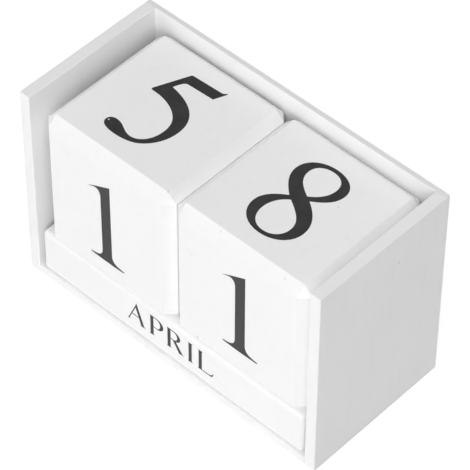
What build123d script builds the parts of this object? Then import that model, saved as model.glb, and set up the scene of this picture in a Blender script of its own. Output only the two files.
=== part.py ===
from build123d import *
import os

# Perpetual block calendar: an open wooden case that holds two day blocks side by side
# on three square month bars.  Millimetres, +X right, +Y to the back, +Z up.
# The origin is the middle of the underside.  Every outer size of the case follows
# from the blocks, the bars and the clearances that are named here.

# --- day blocks -----------------------------------------------------------------------
block_size = 52.1           # edge of each day block
block_bevel = 3.2           # flat bevel along the upright and upper edges of a block
block_foot_bevel = 1.2      # smaller bevel along its lower edges
block_arris = 0.35          # radius that breaks the two arrises of each bevel
block_gap = 0.25            # between the two blocks
block_back_gap = 0.1        # between the units block and the back panel
units_block_recess = 1.0    # units block behind the front of the case
tens_block_recess = 0.5     # tens block behind the front of the case
tens_side_slack = 4.2       # free space between the left panel and the tens block
units_side_slack = 2.35     # free space between the units block and the right panel
rim_above_blocks = 4.2      # panels stand this far above the blocks

# --- month bars -----------------------------------------------------------------------
bar_count = 3               # four months on each bar
bar_round = 1.5             # radius of every bar edge
bar_gap = 0.15              # between neighbouring bars
bar_recess = 0.5            # front bar behind the front of the case
bar_back_slack = 2.3        # free space behind the rear bar
bar_end_slack = 1.6         # free space at each end of a bar

# --- case -----------------------------------------------------------------------------
side_thickness = 4.0
base_thickness = 3.0
back_thickness = 1.8
panel_round = 0.35          # eased outer edges of the side panels and the base
back_round = 0.2            # eased edges of the thin back panel, which mark its joint

# --- wire brads that hold the back panel ------------------------------------------------
brad_width = 1.25           # rectangular wire
brad_thickness = 1.0
brad_length = 12.0          # from the back face to the tip
brad_point = 1.5            # chisel end
brad_clearance = 0.03       # between a brad and its hole
brads_per_side = 3
brads_in_base = 2
brad_end_margin = 12.0      # from the top and the underside to the outermost side brads
base_brad_spacing = 56.0

# --- sizes that follow ------------------------------------------------------------------
inner_width = tens_side_slack + 2 * block_size + block_gap + units_side_slack
inner_depth = units_block_recess + block_size + block_back_gap
case_width = inner_width + 2 * side_thickness
case_depth = inner_depth + back_thickness

bar_row_depth = inner_depth - bar_recess - bar_back_slack
bar_side = (bar_row_depth - (bar_count - 1) * bar_gap) / bar_count
bar_length = inner_width - 2 * bar_end_slack
block_seat = base_thickness + bar_side
case_height = block_seat + block_size + rim_above_blocks

front = -case_depth / 2
inner_back = front + inner_depth
outer_back = front + case_depth
inner_left = -inner_width / 2
inner_right = inner_width / 2

bar_names = ["month_bar_front", "month_bar_middle", "month_bar_rear"]


def box_at(x, y, z, width, depth, height):
    """A box whose left, front, bottom corner is at x, y, z."""
    corner = (Align.MIN, Align.MIN, Align.MIN)
    return Pos(x, y, z) * Box(width, depth, height, align=corner)


def ease(solid, radius, is_exposed):
    """Round the edges of a solid whose middle passes the test."""
    edges = [edge for edge in solid.edges() if is_exposed(edge.center())]
    return fillet(edges, radius)


def brad_places():
    """X, Z of every brad: a row up each side panel and a row along the base."""
    places = []
    side_x = inner_right + side_thickness / 2
    step = (case_height - 2 * brad_end_margin) / (brads_per_side - 1)
    for number in range(brads_per_side):
        height = brad_end_margin + number * step
        places.append((-side_x, height))
        places.append((side_x, height))
    first = -base_brad_spacing * (brads_in_base - 1) / 2
    for number in range(brads_in_base):
        places.append((first + number * base_brad_spacing, base_thickness / 2))
    return places


def drill(solid):
    """Cut the brad holes that pass through a case panel."""
    width = brad_width + 2 * brad_clearance
    depth = brad_length + brad_clearance
    height = brad_thickness + 2 * brad_clearance
    for x, z in brad_places():
        corner = (x - width / 2, outer_back - depth, z - height / 2)
        solid -= box_at(*corner, width, depth, height)
    return solid


def make_side_panel(x):
    """A full-height end of the case: rear and lower edges stay square."""
    panel = box_at(x, front, 0, side_thickness, inner_depth, case_height)
    outer_edges = lambda middle: middle.Z > 0.01 and middle.Y < inner_back - 0.01
    return drill(ease(panel, panel_round, outer_edges))


def make_base_board():
    """The floor of the case, set between the side panels."""
    board = box_at(inner_left, front, 0, inner_width, inner_depth, base_thickness)
    front_top = lambda middle: middle.Z > base_thickness - 0.01 and middle.Y < front + 0.01
    return drill(ease(board, panel_round, front_top))


def make_back_panel():
    """The thin back, laid over the rear edges of the side panels and the base."""
    panel = box_at(-case_width / 2, inner_back, 0, case_width, back_thickness, case_height)
    above_floor = lambda middle: middle.Z > 0.01
    return drill(ease(panel, back_round, above_floor))


def make_back_panel_brads():
    """Headless brads driven flush with the back face, as a group of separate solids."""
    half = brad_thickness / 2
    side_view = Polyline(
        (outer_back, -half),
        (outer_back, half),
        (outer_back - brad_length + brad_point, half),
        (outer_back - brad_length, 0),
        (outer_back - brad_length + brad_point, -half),
        close=True,
    )
    brad = extrude(Plane.YZ * make_face(side_view), brad_width / 2, both=True)
    return Compound([Pos(x, 0, z) * brad for x, z in brad_places()])


def make_block(left, recess):
    """A day block with flat bevels along all its edges, seated on the month bars."""
    block = box_at(left, front + recess, block_seat, block_size, block_size, block_size)
    above = [edge for edge in block.edges() if edge.center().Z > block_seat + 0.01]
    block = chamfer(above, block_bevel)
    foot = [edge for edge in block.edges() if edge.center().Z < block_seat + 0.01]
    block = chamfer(foot, block_foot_bevel)
    return fillet(block.edges(), block_arris)


def make_month_bar(number):
    """A square month bar lying on the base, counted from the front."""
    bar_front = front + bar_recess + number * (bar_side + bar_gap)
    left = inner_left + bar_end_slack
    bar = box_at(left, bar_front, base_thickness, bar_length, bar_side, bar_side)
    return fillet(bar.edges(), bar_round)


tens_left = inner_left + tens_side_slack
units_left = tens_left + block_size + block_gap

nodes = {
    "base_board": make_base_board(),
    "left_side_panel": make_side_panel(-case_width / 2),
    "right_side_panel": make_side_panel(inner_right),
    "back_panel": make_back_panel(),
    "back_panel_brads": make_back_panel_brads(),
    "tens_block": make_block(tens_left, tens_block_recess),
    "units_block": make_block(units_left, units_block_recess),
}
for number in range(bar_count):
    nodes[bar_names[number]] = make_month_bar(number)

os.makedirs("parts", exist_ok=True)
for name, solid in nodes.items():
    export_step(solid, f"parts/{name}.step")

print(f"case {case_width:.2f} x {case_depth:.2f} x {case_height:.2f} mm, bars {bar_side:.2f} square")
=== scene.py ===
import math

import bmesh
import bpy
from mathutils import Matrix, Vector
from mathutils.geometry import delaunay_2d_cdt


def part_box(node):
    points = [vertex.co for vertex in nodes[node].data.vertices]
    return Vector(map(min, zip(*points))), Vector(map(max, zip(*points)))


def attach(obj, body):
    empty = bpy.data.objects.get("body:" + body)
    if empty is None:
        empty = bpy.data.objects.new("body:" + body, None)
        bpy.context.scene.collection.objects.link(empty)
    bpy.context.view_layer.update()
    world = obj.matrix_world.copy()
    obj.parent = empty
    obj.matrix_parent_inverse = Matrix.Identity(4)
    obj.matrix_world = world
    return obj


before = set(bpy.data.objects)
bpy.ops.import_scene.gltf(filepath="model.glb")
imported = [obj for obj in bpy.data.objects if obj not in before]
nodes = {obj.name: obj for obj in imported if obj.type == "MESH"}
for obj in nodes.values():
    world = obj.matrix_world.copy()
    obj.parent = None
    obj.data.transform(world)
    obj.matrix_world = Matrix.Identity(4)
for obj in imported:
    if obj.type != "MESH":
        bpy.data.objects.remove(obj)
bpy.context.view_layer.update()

mm_per_metre = 1000

# --- camera, in metres, with its lens and sensor in mm ------------------------------------
camera_place = (0.3973, -0.4268, 0.6721)
camera_right = Vector((0.7300, 0.6834, 0.0045))
camera_back = Vector((0.4595, -0.4958, 0.7369))
lens = 221.27
sensor = 36
nearest_seen = 0.05
farthest_seen = 20

# --- lettering, in metres -----------------------------------------------------------------
numeral_height = 0.0334
capital_height = 0.0085
ink_rise = 0.00002          # ink above the paint
ink_depth = 0.00003         # and into it
letter_space = 18           # between capitals, where 100 is their height
month_across = 0.5          # mm that a month's name stands right of the middle of its bar
month_above = 1.2           # mm that it stands above the middle
curve_steps = 9             # short lines in each curve of an outline
quarter_turn = 0.5523       # reach of a cubic curve's handles, for a quarter of an ellipse

# --- paint --------------------------------------------------------------------------------
cloud_scale = 35            # noise and cells, per metre
brush_scale = 420
peel_scale = 1500
speck_scale = 95.0
brush_height = 0.00004      # metres
peel_height = 0.00002
along_x = (0.12, 1, 1)      # the way that the brush marks are drawn out
upright = (1, 1, 0.12)
both_ways = (0.6, 0.6, 1)

# --- floor and softboxes, in metres -------------------------------------------------------
floor_half = 4.0
floor_drop = 0.00002        # floor below the object, so that their faces don't meet
floor_glow = 0.50           # light that only the camera and mirrored rays see
softbox_size = 1.4
softbox_distance = 2.1
softbox_aim = Vector((0, 0, 0.04))


# --- camera -------------------------------------------------------------------------------
def make_camera():
    """A long lens from the front right, high up."""
    data = bpy.data.cameras.new("camera")
    data.sensor_width = sensor
    data.lens = lens
    data.clip_start = nearest_seen
    data.clip_end = farthest_seen
    camera = bpy.data.objects.new("camera", data)
    up = camera_back.cross(camera_right).normalized()
    right = up.cross(camera_back).normalized()
    turn = Matrix((right, up, camera_back.normalized())).transposed()
    camera.matrix_world = Matrix.Translation(camera_place) @ turn.to_4x4()
    bpy.context.collection.objects.link(camera)
    bpy.context.scene.camera = camera


# --- materials ----------------------------------------------------------------------------
class Shader:
    """A material with short calls for its nodes."""

    def __init__(self, name):
        self.material = bpy.data.materials.new(name)
        self.material.use_nodes = True
        self.tree = self.material.node_tree
        self.surface = self.tree.nodes["Principled BSDF"]

    def link(self, source, target):
        self.tree.links.new(source, target)

    def node(self, kind, inputs=None, **settings):
        node = self.tree.nodes.new(kind)
        for key, value in settings.items():
            setattr(node, key, value)
        for key, value in (inputs or {}).items():
            if isinstance(value, bpy.types.NodeSocket):
                self.link(value, node.inputs[key])
            else:
                node.inputs[key].default_value = value
        return node

    def place(self, stretch=(1, 1, 1)):
        """Object coordinates, in metres."""
        source = self.node("ShaderNodeTexCoord").outputs["Object"]
        mapping = self.node("ShaderNodeMapping", {"Vector": source, "Scale": stretch})
        return mapping.outputs["Vector"]

    def noise(self, scale, detail=2, stretch=(1, 1, 1)):
        inputs = {"Vector": self.place(stretch), "Scale": scale, "Detail": detail}
        return self.node("ShaderNodeTexNoise", inputs).outputs["Fac"]

    def remap(self, value, low, high, to_low=0.0, to_high=1.0):
        inputs = {"Value": value, "From Min": low, "From Max": high}
        inputs["To Min"] = to_low
        inputs["To Max"] = to_high
        return self.node("ShaderNodeMapRange", inputs).outputs["Result"]

    def maths(self, operation, first, second):
        node = self.node("ShaderNodeMath", {0: first, 1: second}, operation=operation)
        return node.outputs["Value"]

    def blend(self, factor, first, second):
        node = self.node("ShaderNodeMix", data_type="RGBA")
        for key, value in (("Factor_Float", factor), ("A_Color", first), ("B_Color", second)):
            socket = next(item for item in node.inputs if item.identifier == key)
            if isinstance(value, bpy.types.NodeSocket):
                self.link(value, socket)
            else:
                socket.default_value = value
        return next(item for item in node.outputs if item.identifier == "Result_Color")

    def chips(self, colour, marks, tone):
        """Small round chips in a colour; each has its place and radius in mm, and strength."""
        where = self.place()
        for x, y, z, radius, strength in marks:
            centre = (x / mm_per_metre, y / mm_per_metre, z / mm_per_metre)
            inputs = {0: where, 1: centre}
            away = self.node("ShaderNodeVectorMath", inputs, operation="DISTANCE").outputs["Value"]
            reach = radius / mm_per_metre
            spot = self.remap(away, reach / 2, reach, strength, 0.0)
            colour = self.blend(spot, colour, grey(tone))
        return colour

    def bump(self, height, distance, below=None):
        inputs = {"Height": height, "Distance": distance, "Strength": 1.0}
        if below is not None:
            inputs["Normal"] = below
        return self.node("ShaderNodeBump", inputs).outputs["Normal"]


def grey(level):
    return (level, level, level, 1)


def make_paint(name, colour, stretch, marks=(), top_shade_amount=0.0):
    """Satin white paint, brushed along the grain of the wood below it, with its chips.

    The last argument is painted shade: how much darker the upper edges of a thin panel are made, on
    faces that point upwards, for the lesser light that falls on them.
    """
    shader = Shader(name)
    cloud = shader.remap(shader.noise(cloud_scale, 3), 0.3, 0.7)
    brushed = shader.noise(brush_scale, 4, stretch)
    peel = shader.noise(peel_scale, 2)

    tint = tuple(channel * 0.985 for channel in colour[:3]) + (1,)
    mottled = shader.blend(cloud, tint, colour)
    streak = shader.remap(brushed, 0.56, 0.72, 0.0, 0.06)
    painted = shader.blend(streak, mottled, grey(0.62))

    scatter = {"Vector": shader.place(), "Scale": speck_scale, "Randomness": 1.0}
    cells = shader.node("ShaderNodeTexVoronoi", scatter)
    pick = shader.node("ShaderNodeSeparateColor", {"Color": cells.outputs["Color"]})
    chosen = shader.remap(pick.outputs["Red"], 0.93, 0.94)
    near = shader.remap(cells.outputs["Distance"], 0.018, 0.032, 1.0, 0.0)
    speck = shader.maths("MULTIPLY", shader.maths("MULTIPLY", chosen, near), 0.5)
    finished = shader.chips(shader.blend(speck, painted, grey(0.25)), marks, 0.30)
    # Painted shade: faces that point upwards are darkened towards black, standing in for the lesser
    # light on top faces.
    if top_shade_amount:
        normal = shader.node("ShaderNodeNewGeometry").outputs["Normal"]
        facing = shader.node("ShaderNodeSeparateXYZ", {"Vector": normal}).outputs["Z"]
        finished = shader.blend(shader.remap(facing, 0.7, 0.95, 0.0, top_shade_amount), finished, grey(0))

    surface = shader.surface
    shader.link(finished, surface.inputs["Base Color"])
    shader.link(shader.remap(brushed, 0.3, 0.7, 0.40, 0.54), surface.inputs["Roughness"])
    rough = shader.bump(brushed, brush_height)
    shader.link(shader.bump(peel, peel_height, rough), surface.inputs["Normal"])
    return shader.material


def make_brad_paint():
    """White paint rubbed thin over steel wire."""
    shader = Shader("brad_paint")
    patch = shader.remap(shader.noise(1300, 3), 0.52, 0.60)
    shader.link(shader.blend(patch, grey(0.80), grey(0.34)), shader.surface.inputs["Base Color"])
    shader.link(shader.remap(patch, 0, 1, 0.5, 0.3), shader.surface.inputs["Roughness"])
    shader.link(shader.remap(patch, 0, 1, 0.0, 0.9), shader.surface.inputs["Metallic"])
    shader.link(shader.bump(shader.noise(2500, 2), 0.00003), shader.surface.inputs["Normal"])
    return shader.material


def make_ink():
    """Matt black ink, a little uneven where the painted grain shows through."""
    shader = Shader("ink_black")
    grain = shader.noise(900, 4, (0.25, 0.25, 1))
    level = shader.remap(grain, 0.35, 0.70, 0.010, 0.022)
    colour = shader.node("ShaderNodeCombineColor", {"Red": level, "Green": level, "Blue": level})
    colour = shader.chips(colour.outputs["Color"], ink_chips, 0.85)
    shader.link(colour, shader.surface.inputs["Base Color"])
    shader.link(shader.remap(grain, 0.3, 0.7, 0.42, 0.60), shader.surface.inputs["Roughness"])
    shader.surface.inputs["Specular IOR Level"].default_value = 0.40
    shader.link(shader.bump(grain, 0.00002), shader.surface.inputs["Normal"])
    return shader.material


def dress(names, material):
    for name in names:
        for slot in nodes[name].material_slots:
            slot.material = material


# --- lettering ------------------------------------------------------------------------------
# An outline is a string: M starts it, L is a straight line, C a cubic curve, H a quarter
# turn that leaves level and V one that leaves upright.  A height of 100 is the full height
# of a numeral or capital, measured up from its foot.  "holes" are cut from what is drawn.
NUMERALS = {
    "0": {
        "ink": ["M 0 100.3 H 26 50 V 0 -0.3 H -26 50 V 0 100.3"],
        "holes": ["M 0 96.3 H 15 50 V 0 3.7 H -15 50 V 0 96.3"],
    },
    "1": {
        "ink": [
            "M -21.4 86.2 C -15 91 -6 94.5 5.5 100.4 L 5.7 12 C 6 5 10 2.5 20.5 2 L 20.5 0.5"
            " C 8 -0.3 -8 -0.3 -20.5 0.5 L -20.5 2 C -10.5 2.5 -6.6 5 -6.2 12 L -6.2 81"
            " C -6.4 88 -9.5 90.3 -13.5 89.4 C -16.5 88.8 -18.5 87.4 -21.4 86.2"
        ],
    },
    "2": {
        "ink": [
            "M -27 77 C -27 91 -15 100.3 0 100.3 C 15 100.3 25 90 25 76 C 25 57 3 41 -15 15"
            " L 9 15 C 20 15 23 18 26.5 27 L 29 26 L 26 0 L -28 0 L -28 3.5"
            " C -9 30 13 52 13 75 C 13 88 7 95.6 -2.5 95.6 C -11 95.6 -17 91 -19.5 84",
            "M -20 84 H -13 77 V -20 70 H -27 77 V -20 84",
        ],
    },
    "3": {
        "ink": [
            "M -24 82 C -22 94 -12 100.3 0 100.3 C 13 100.3 22 92 22 79 C 22 66 12 58 1 54.5"
            " C 17 52 27 43 27 28 C 27 10 13 -0.6 -3 -0.6 C -15 -0.6 -26 4 -28 14"
            " L -19 8 C -15 4.5 -10 3.6 -5 3.6 C 8 3.6 15.5 12 15.5 27 C 15.5 42 6 51 -9 51"
            " L -11 51 L -11 54.6 C 3 55 11 64 11 78 C 11 89 6 96 -2 96 C -9 96 -14 92 -17 86",
            "M -18 89 H -11.5 82.5 V -18 76 H -24.5 82.5 V -18 89",
            "M -21.5 20 H -15 13.5 V -21.5 7 H -28 13.5 V -21.5 20",
        ],
    },
    "4": {
        "ink": [
            "M 15.5 100.3 L 9.5 100.3 L -30 33 L -30 26 L 4 26 L 4 11 C 4 5 0.5 2.5 -8 2"
            " L -8 0 L 27 0 L 27 2 C 19.5 2.5 15.5 5 15.5 11 L 15.5 26 L 29 26 L 29 32.5"
            " L 15.5 32.5",
        ],
        "holes": ["M 4 32.5 L 4 82 L -24.5 32.5"],
    },
    "5": {
        "ink": [
            "M -10.5 98.5 L 23.3 100 C 25.2 100.5 26.5 102.1 27.4 102.9 L 28 102 L 22.6 88.8"
            " L -6.6 87.5 C -10.2 87 -12 81.8 -14.2 75.7 C 2.2 73.7 15.4 68.2 22.8 58.4"
            " C 27.2 52.4 29 46 29 38 C 29 24 22.2 12.2 12.7 5.3 C 5.5 0.4 -3.6 -0.8 -12.2 -0.8"
            " C -21.7 -0.8 -29.6 1.4 -29.6 7.5 C -29.6 11.6 -26.2 13.8 -21.7 13.8"
            " C -12.7 13.8 -7.7 6.4 0.8 6.4 C 10.3 6.4 18.6 16 18.6 30 C 18.6 41 15.3 47 6.6 53"
            " C -0.7 57.8 -9.8 60.6 -20.8 60.9 L -24.7 61 C -26.6 61 -27.1 62.4 -26.1 64.1"
            " L -12 97.6 C -11.6 98.3 -11.2 98.5 -10.5 98.5"
        ],
    },
    "6": {
        "ink": [
            "M 22 101 C -8 92 -28 66 -28 35 C -28 13 -16 -0.6 0.5 -0.6 C 17 -0.6 28 12 28 31"
            " C 28 49 18 61 4 61 C -4 61 -11 57 -15.5 51 C -12 72 2 89 22.6 98.4"
        ],
        "holes": [
            "M 1 56.6 C -9.5 56.6 -16.5 47 -16.5 32 C -16.5 14 -9 3.4 1.5 3.4"
            " C 11 3.4 16.8 13 16.8 30 C 16.8 47 11.5 56.6 1 56.6"
        ],
    },
    "7": {
        "ink": [
            "M -28 77 L -25 100 L 27 100 L 27 96.5 C 9 60 -1 36 -4 0 L -17 0 C -13 34 1 61 18 87"
            " L -12 87 C -19.5 87 -22.5 84 -25.5 77"
        ],
    },
    "8": {
        "ink": [
            "M 0 99.9 C 15 99.9 26 92.5 26 80.9 C 26 69 17 62 7.3 55.9 C 17 49.5 29.1 40 29.1 24.6"
            " C 29.1 10 16 -0.2 0 -0.2 C -17 -0.2 -29 10.5 -29 24.6 C -29 36 -20 43.5 -10.3 49.6"
            " C -20 58 -28.1 66 -28.1 77.8 C -28.1 91 -15 99.9 0 99.9"
        ],
        "holes": [
            "M 0 95.6 C -10 95.6 -16.9 90 -16.9 81.5 C -16.9 71 -9 65 2 58.8"
            " C 10 64 16 71 16 80.9 C 16 90 10 95.6 0 95.6",
            "M -5.6 46.5 C -13 41.5 -17.8 33 -17.8 24 C -17.8 11.5 -10 4 0 4"
            " C 11 4 17.6 11.5 17.6 20.5 C 17.6 31.5 9 38 -5.6 46.5",
        ],
    },
}


def stem(x, top=100):
    """A heavy upright of a capital with small flared serifs, its middle at x."""
    return (
        f"M {x - 11} {top} L {x + 11} {top} C {x + 8} {top - 3} {x + 7.5} {top - 6} "
        f"{x + 7.5} {top - 10} L {x + 7.5} 10 C {x + 7.5} 6 {x + 8} 2 {x + 12} 0 "
        f"L {x - 12} 0 C {x - 8} 2 {x - 7.5} 6 {x - 7.5} 10 "
        f"L {x - 7.5} {top - 10} C {x - 7.5} {top - 6} {x - 8} {top - 3} {x - 11} {top}"
    )


def hairline(x):
    """A light upright of a capital with a serif at each end."""
    return (
        f"M {x - 8} 100 L {x + 8} 100 L {x + 2.4} 96 L {x + 2.4} 4 "
        f"L {x + 8} 0 L {x - 8} 0 L {x - 2.4} 4 L {x - 2.4} 96"
    )


# Each capital has its width, its outlines and its holes.
CAPITALS = {
    "A": (91, ["M 46 104 L 82.5 5 L 88 0 L 63 0 L 67.5 5 L 40 84 L 46 104",
               "M 46 104 L 41 91 L 5 4 L 0 0 L 14 0 L 10 4 L 46 90",
               "M 20 39 L 60 39 L 61 34.5 L 18 34.5"], []),
    "B": (66, [stem(13), "M 13 100 L 34 100 H 58 77 V 31 53 L 13 53",
               "M 13 55 L 34 55 H 64 28 V 35 0 L 13 0"],
          ["M 20.5 96 L 31 96 H 44 76 V 28 57 L 20.5 57",
           "M 20.5 52 L 31 52 H 49 28 V 31 4 L 20.5 4"]),
    "C": (82, ["M 78 80 C 73 94 62 101.5 46 101.5 C 20 101.5 2 80 2 50 C 2 20 20 -1.5 46 -1.5"
               " C 62 -1.5 75 6 81 20 L 78 21 C 72 9.5 62 4 50 4 C 30 4 18 22 18 50"
               " C 18 78 30 96 48 96 C 61 96 70 90 75 77"], []),
    "D": (92, [stem(13), "M 13 100 L 40 100 C 70 100 90 81 90 50 C 90 19 70 0 40 0 L 13 0"],
          ["M 20.5 96 L 38 96 C 60 96 74 79 74 50 C 74 21 60 4 38 4 L 20.5 4"]),
    "E": (66, [stem(13), "M 13 100 L 57 100 L 58 81 L 55.5 81 C 54 91 50 96 42 96 L 13 96",
               "M 13 53.5 L 42 53.5 L 46 61 L 46 42 L 42 49.5 L 13 49.5",
               "M 13 4 L 44 4 C 54 4 58 9 62.5 20 L 65 19 L 58 0 L 13 0"], []),
    "F": (60, [stem(13), "M 13 100 L 57 100 L 58 81 L 55.5 81 C 54 91 50 96 42 96 L 13 96",
               "M 13 52.5 L 42 52.5 L 46 60 L 46 41 L 42 48.5 L 13 48.5"], []),
    "G": (90, ["M 80 80 C 74 94 63 101.5 47 101.5 C 20 101.5 2 80 2 50 C 2 20 20 -1.5 47 -1.5"
               " C 62 -1.5 74 1 85 6 L 85 34 C 85 38 86 40 90 41 L 90 42.5 L 62 42.5 L 62 41"
               " C 68 40 70 38 70 34 L 70 8 C 64 5 58 4 51 4 C 30 4 18 22 18 50"
               " C 18 78 30 96 49 96 C 62 96 72 90 77 77"], []),
    "H": (90, [stem(13), stem(77), "M 15 53.5 L 75 53.5 L 75 49.5 L 15 49.5"], []),
    "I": (32, [stem(14)], []),
    "J": (46, ["M 18 100 L 44 100 C 40 97 39.5 94 39.5 90 L 39.5 22 C 39.5 3 27 -9 7 -11"
               " L 6 -8 C 18 -5 24.5 4 24.5 20 L 24.5 90 C 24.5 94 24 97 18 100"], []),
    "L": (77, [stem(13), "M 13 4.5 L 52 4.5 C 64 4.5 69 10 75 21.5 L 77.5 20 L 69 0 L 13 0"], []),
    "M": (110, [hairline(12), stem(96), "M 4 100 L 22 100 L 60 13 L 54 -2 L 51 -2 L 10 92",
                "M 98 100 L 88 100 L 55 19 L 54 -2 L 56 -2"], []),
    "N": (94, [hairline(12), hairline(82), "M 3 100 L 20 100 L 84.4 13 L 84.4 -2 L 81 -2 L 10 93"],
          []),
    "O": (96, ["M 48 101.5 C 75 101.5 94 80 94 50 C 94 20 75 -1.5 48 -1.5 C 21 -1.5 2 20 2 50"
               " C 2 80 21 101.5 48 101.5"],
          ["M 48 97 C 29 97 18 78 18 50 C 18 22 29 3 48 3 C 67 3 78 22 78 50 C 78 78 67 97 48 97"]),
    "P": (66, [stem(13), "M 13 100 L 37 100 H 69 72 V 37 43.5 L 18 45.5 L 13 50"],
          ["M 20.5 96 L 34 96 H 54 72 V 35 47.5 L 20.5 49.5"]),
    "R": (84, [stem(13), "M 13 100 L 37 100 H 68 74 V 37 49 L 13 49",
               "M 30 51 L 46 51 L 78 5 L 84 0 L 62 0"],
          ["M 20.5 96 L 34 96 H 53 74 V 34 53 L 20.5 53"]),
    "S": (62, ["M 54 97 L 54 78 L 51.5 78 C 49 90 41 97 30 97 C 20 97 14 91.5 14 83.5"
               " C 14 74 21 69.5 34 63.5 C 51 55.5 60 46 60 29 C 60 10.5 47 -1.5 29 -1.5"
               " C 20 -1.5 12 1 7 4 L 3.5 24 L 6 24.5 C 9.5 11 18 3 30 3 C 40.5 3 47 9 47 18.5"
               " C 47 29 39.5 34.5 26 40.5 C 9.5 48 2 57.5 2 72.5 C 2 89.5 14 101.5 31 101.5"
               " C 39.5 101.5 47 99.5 54 97"], []),
    "T": (84, [stem(42), "M 2 100 L 82 100 L 84 80 L 81.5 80 C 80 91 76 96 68 96 L 16 96"
               " C 8 96 4 91 2.5 80 L 0 80"], []),
    "U": (88, ["M 2 100 L 26 100 C 22 97 21.5 94 21.5 90 L 21.5 36 C 21.5 14 31 5 47 5"
               " C 62 5 71.5 15 71.5 36 L 71.5 93 L 65 100 L 84 100 L 76.5 93 L 76.5 35"
               " C 76.5 11 65 -1.5 44 -1.5 C 20 -1.5 6.5 11 6.5 35 L 6.5 90 C 6.5 94 6 97 2 100"],
          []),
    "V": (90, ["M 0 100 L 25 100 L 20 95 L 51 12 L 46.5 -3 L 43.5 -3 L 4.5 95",
               "M 90 100 L 74 100 L 78 95 L 49 17 L 46.5 -3 L 83 95"], []),
    "Y": (88, ["M 0 100 L 25 100 L 20 95 L 52 47 L 52 38 L 37 42 L 4 95",
               "M 88 100 L 72 100 L 76 95 L 48 50 L 51 42 L 81 95", stem(44.5, 52)], []),
}


def along_cubic(start, first, second, end, t):
    """The point of a cubic curve at t, which runs from 0 to 1."""
    s = 1 - t
    return s**3 * start + 3 * s * s * t * first + 3 * s * t * t * second + t**3 * end


def trace(outline):
    """The corner points of an outline, with its curves cut into short lines."""
    words = outline.split()
    points = []
    while words:
        kind = words.pop(0)
        count = 6 if kind == "C" else 2
        values = [float(word) for word in words[:count]]
        words = words[count:]
        end = Vector(values[-2:])
        if kind in "ML":
            points.append(end)
            continue
        start = points[-1]
        reach = (end - start) * quarter_turn
        if kind == "C":
            first, second = Vector(values[:2]), Vector(values[2:4])
        elif kind == "H":
            first, second = start + Vector((reach.x, 0)), end - Vector((0, reach.y))
        else:
            first, second = start + Vector((0, reach.y)), end - Vector((reach.x, 0))
        for step in range(1, curve_steps + 1):
            points.append(along_cubic(start, first, second, end, step / curve_steps))
    if (points[0] - points[-1]).length < 0.001:
        points.pop()
    turns = sum(a.cross(b) for a, b in zip(points, points[1:] + points[:1]))
    return points if turns > 0 else points[::-1]


def print_shapes(name, body, shapes, origin, right, up, unit):
    """A thin layer of ink in the plane of right and up, proud of the face by ink_rise.

    shapes lists outlines, holes and a shift along right, in units of the given length.
    """
    normal = right.cross(up)
    vertices, faces = [], []
    for inks, holes, shift in shapes:
        points, loops = [], []
        for outline in inks + holes:
            loop = trace(outline)
            loops.append(list(range(len(points), len(points) + len(loop))))
            points += loop
        cut = delaunay_2d_cdt(points, [], loops, 1, 0.0001)
        flat, triangles, sources = cut[0], cut[2], cut[5]
        kept = [tuple(corners) for corners, source in zip(triangles, sources)
                if source and max(source) < len(inks)]
        first = len(vertices)
        size = len(flat)
        for height in (ink_rise, -ink_depth):
            for point in flat:
                place = right * (point.x + shift) * unit + up * point.y * unit
                vertices.append(origin + place + normal * height)
        sides = {(a, b) for face in kept for a, b in zip(face, face[1:] + face[:1])}
        for face in kept:
            faces.append([first + corner for corner in face])
            faces.append([first + size + corner for corner in reversed(face)])
        for a, b in sorted(sides):
            if (b, a) not in sides:
                faces.append([first + b, first + a, first + size + a, first + size + b])
    mesh = bpy.data.meshes.new(name)
    mesh.from_pydata(vertices, [], faces)
    work = bmesh.new()
    work.from_mesh(mesh)
    bmesh.ops.delete(work, geom=[v for v in work.verts if not v.link_faces], context="VERTS")
    work.to_mesh(mesh)
    work.free()
    mesh.materials.append(ink)
    piece = bpy.data.objects.new(name, mesh)
    bpy.context.collection.objects.link(piece)
    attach(piece, body)


def face_of(node, side):
    """Middle of one face of a node's box, with the right and up of what is read on it."""
    low, high = (Vector(corner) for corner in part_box(node))
    x, y, z = Vector((1, 0, 0)), Vector((0, 1, 0)), Vector((0, 0, 1))
    right, up = {
        "front": (x, z),
        "top": (x, y),
        "rear": (-x, z),
        "left": (-y, z),
        "right": (y, z),
        "underside": (x, -y),
        "rear_inverted": (x, -z),
    }[side]
    normal = right.cross(up)
    half = (high - low) / 2
    reach = abs(normal.x) * half.x + abs(normal.y) * half.y + abs(normal.z) * half.z
    return (low + high) / 2 + normal * reach, right, up


def print_numeral(node, side, digit, across, above):
    """A numeral in the middle of a block's face, shifted by across and above in mm."""
    middle, right, up = face_of(node, side)
    unit = numeral_height / 100
    foot = middle + right * across / mm_per_metre
    foot += up * (above / mm_per_metre - numeral_height / 2)
    shape = NUMERALS[digit]
    shapes = [(shape["ink"], shape.get("holes", []), 0)]
    print_shapes(f"ink_{node}_{digit}", node, shapes, foot, right, up, unit)


def print_month(node, side, word):
    """A month's name along a bar."""
    middle, right, up = face_of(node, side)
    unit = capital_height / 100
    shapes = []
    reach = 0
    for letter in word:
        width, inks, holes = CAPITALS[letter]
        shapes.append((inks, holes, reach))
        reach += width + letter_space
    half_length = (reach - letter_space) / 2 * unit
    start = middle + right * (month_across / mm_per_metre - half_length)
    start += up * (month_above / mm_per_metre - capital_height / 2)
    print_shapes(f"ink_{word.lower()}", node, shapes, start, right, up, unit)


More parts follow.
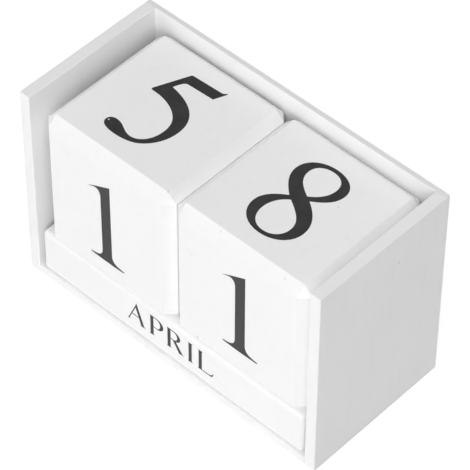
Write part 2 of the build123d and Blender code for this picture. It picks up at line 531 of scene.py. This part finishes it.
# --- floor, world and lamps -----------------------------------------------------------------
def make_floor():
    """A wide white floor that keeps the object's shadow."""
    shader = Shader("floor_white")
    level = shader.remap(shader.noise(6, 2), 0.3, 0.7, 0.77, 0.79)
    colour = shader.node("ShaderNodeCombineColor", {"Red": level, "Green": level, "Blue": level})
    shader.link(colour.outputs["Color"], shader.surface.inputs["Base Color"])
    shader.surface.inputs["Roughness"].default_value = 1.0
    shader.surface.inputs["Specular IOR Level"].default_value = 0.0
    path = shader.node("ShaderNodeLightPath")
    seen = shader.maths("ADD", path.outputs["Is Camera Ray"], path.outputs["Is Glossy Ray"])
    seen = shader.maths("ADD", seen, path.outputs["Is Transmission Ray"])
    seen = shader.maths("MINIMUM", seen, 1.0)
    shader.surface.inputs["Emission Color"].default_value = grey(1)
    glow = shader.maths("MULTIPLY", seen, floor_glow)
    shader.link(glow, shader.surface.inputs["Emission Strength"])

    half = floor_half
    corners = [(-half, -half, 0), (half, -half, 0), (half, half, 0), (-half, half, 0)]
    mesh = bpy.data.meshes.new("floor")
    mesh.from_pydata(corners, [], [(0, 1, 2, 3)])
    mesh.materials.append(shader.material)
    floor = bpy.data.objects.new("floor", mesh)
    floor.location.z = -floor_drop
    bpy.context.collection.objects.link(floor)


def make_world(strength, ceiling):
    """A sky that is pure white where it is seen, and lights the object only by strength.

    In mirrored rays it is white at the horizon and fades to ceiling higher up.
    """
    world = bpy.data.worlds.new("studio")
    world.use_nodes = True
    tree = world.node_tree

    def node(kind, inputs, **settings):
        made = tree.nodes.new(kind)
        for key, value in settings.items():
            setattr(made, key, value)
        for key, value in inputs.items():
            if isinstance(value, bpy.types.NodeSocket):
                tree.links.new(value, made.inputs[key])
            else:
                made.inputs[key].default_value = value
        return made.outputs

    path = node("ShaderNodeLightPath", {})
    direction = node("ShaderNodeTexCoord", {})["Generated"]
    height = node("ShaderNodeSeparateXYZ", {"Vector": direction})["Z"]
    range_ends = {"Value": height, "From Min": 0.15, "From Max": 0.5, "To Min": 1.0}
    range_ends["To Max"] = ceiling
    dimmer = node("ShaderNodeMapRange", range_ends)["Result"]
    seen = node("ShaderNodeMath", {0: path["Is Camera Ray"], 1: path["Is Transmission Ray"]},
                operation="MAXIMUM")["Value"]
    mirrored = node("ShaderNodeMath", {0: path["Is Glossy Ray"], 1: dimmer},
                    operation="MULTIPLY")["Value"]
    total = node("ShaderNodeMath", {0: seen, 1: mirrored}, operation="MAXIMUM")["Value"]
    level = node("ShaderNodeMapRange", {"Value": total, "To Min": strength})["Result"]
    background = tree.nodes["Background"]
    background.inputs["Color"].default_value = grey(1)
    tree.links.new(level, background.inputs["Strength"])
    bpy.context.scene.world = world


def make_softbox(name, bearing, elevation, power):
    """A square lamp that faces the object: its bearing is 0 in front and 90 at the right."""
    data = bpy.data.lights.new(name, "AREA")
    data.shape = "SQUARE"
    data.size = softbox_size
    data.energy = power
    lamp = bpy.data.objects.new(name, data)
    turn, rise = math.radians(bearing), math.radians(elevation)
    level = math.cos(rise)
    direction = Vector((level * math.sin(turn), -level * math.cos(turn), math.sin(rise)))
    lamp.location = softbox_aim + direction * softbox_distance
    lamp.rotation_euler = (-direction).to_track_quat("-Z", "Y").to_euler()
    bpy.context.collection.objects.link(lamp)


# --- scene ------------------------------------------------------------------------------------
make_camera()

case_white = grey(0.93)
block_white = grey(0.94)
back_top_shade = 0.11            # painted shade: how much darker the top of the back panel is made
sides_top_shade = 0.03           # and the tops of the side panels

# Each chip is x, y, z and radius in mm, and how strongly it shows.
side_chips = [(59.5, 6.1, 64.6, 0.40, 0.5)]
ink_chips = [(-35.3, -14.7, 71.8, 0.32, 0.9)]
block_chips = [
    (-2.4, -23.7, 71.7, 0.45, 0.40),
    (11.5, -26.5, 21.3, 0.40, 0.45),
    (37.0, 5.1, 71.8, 0.35, 0.35),
    (18.6, -24.1, 71.0, 0.45, 0.20),
    (9.2, -26.5, 56.1, 0.40, 0.10),
    (43.7, -24.6, 70.5, 0.55, 0.15),
    (50.9, -26.0, 69.1, 0.50, 0.25),
]
dress(["month_bar_front", "month_bar_middle", "month_bar_rear"],
      make_paint("paint_bars", block_white, along_x))
dress(["base_board"], make_paint("paint_base", case_white, along_x))
dress(["left_side_panel", "right_side_panel"],
      make_paint("paint_upright_sides", case_white, upright, side_chips, sides_top_shade))
dress(["back_panel"], make_paint("paint_back", case_white, along_x, top_shade_amount=back_top_shade))
dress(["tens_block", "units_block"],
      make_paint("paint_blocks", block_white, both_ways, block_chips))
dress(["back_panel_brads"], make_brad_paint())

# The numeral on each side of a block, and its shift to the right and up in mm.
numerals = {
    "tens_block": [
        ("front", "1", 0.05, -2.25),
        ("top", "5", -1.05, 0.15),
        ("left", "0", 0, 0),
        ("right", "3", 0, 0),
        ("rear", "2", 0, 0),
        ("underside", "4", 0, 0),
    ],
    "units_block": [
        ("front", "1", 1.45, -0.85),
        ("top", "8", 0, -0.35),
        ("left", "2", 0, 0),
        ("right", "0", 0, 0),
        ("rear", "7", 0, 0),
        ("underside", "6", 0, 0),
    ],
}
ink = make_ink()
for block, prints in numerals.items():
    for side, digit, across, above in prints:
        print_numeral(block, side, digit, across, above)

months = {
    "month_bar_front": ("APRIL", "JANUARY", "FEBRUARY", "MARCH"),
    "month_bar_middle": ("MAY", "JUNE", "JULY", "AUGUST"),
    "month_bar_rear": ("SEPTEMBER", "OCTOBER", "NOVEMBER", "DECEMBER"),
}
for bar, words in months.items():
    for side, word in zip(("front", "top", "rear_inverted", "underside"), words):
        print_month(bar, side, word)

make_floor()
make_world(strength=0.02, ceiling=0.2)

# Each softbox has its name, bearing and elevation in degrees, and power in watts.
softboxes = [
    ("front", 15, 12, 5),
    ("front_right", 30, 12, 14),
    ("front_left", -40, 15, 10),
    ("right", 40, 35, 10),
    ("right_high", 40, 62, 10),
    ("left_high", -80, 62, 7),
    ("rear_high", 180, 50, 15),
]
for name, bearing, elevation, power in softboxes:
    make_softbox(name, bearing, elevation, power)
bpy.context.scene.view_settings.view_transform = "Standard"
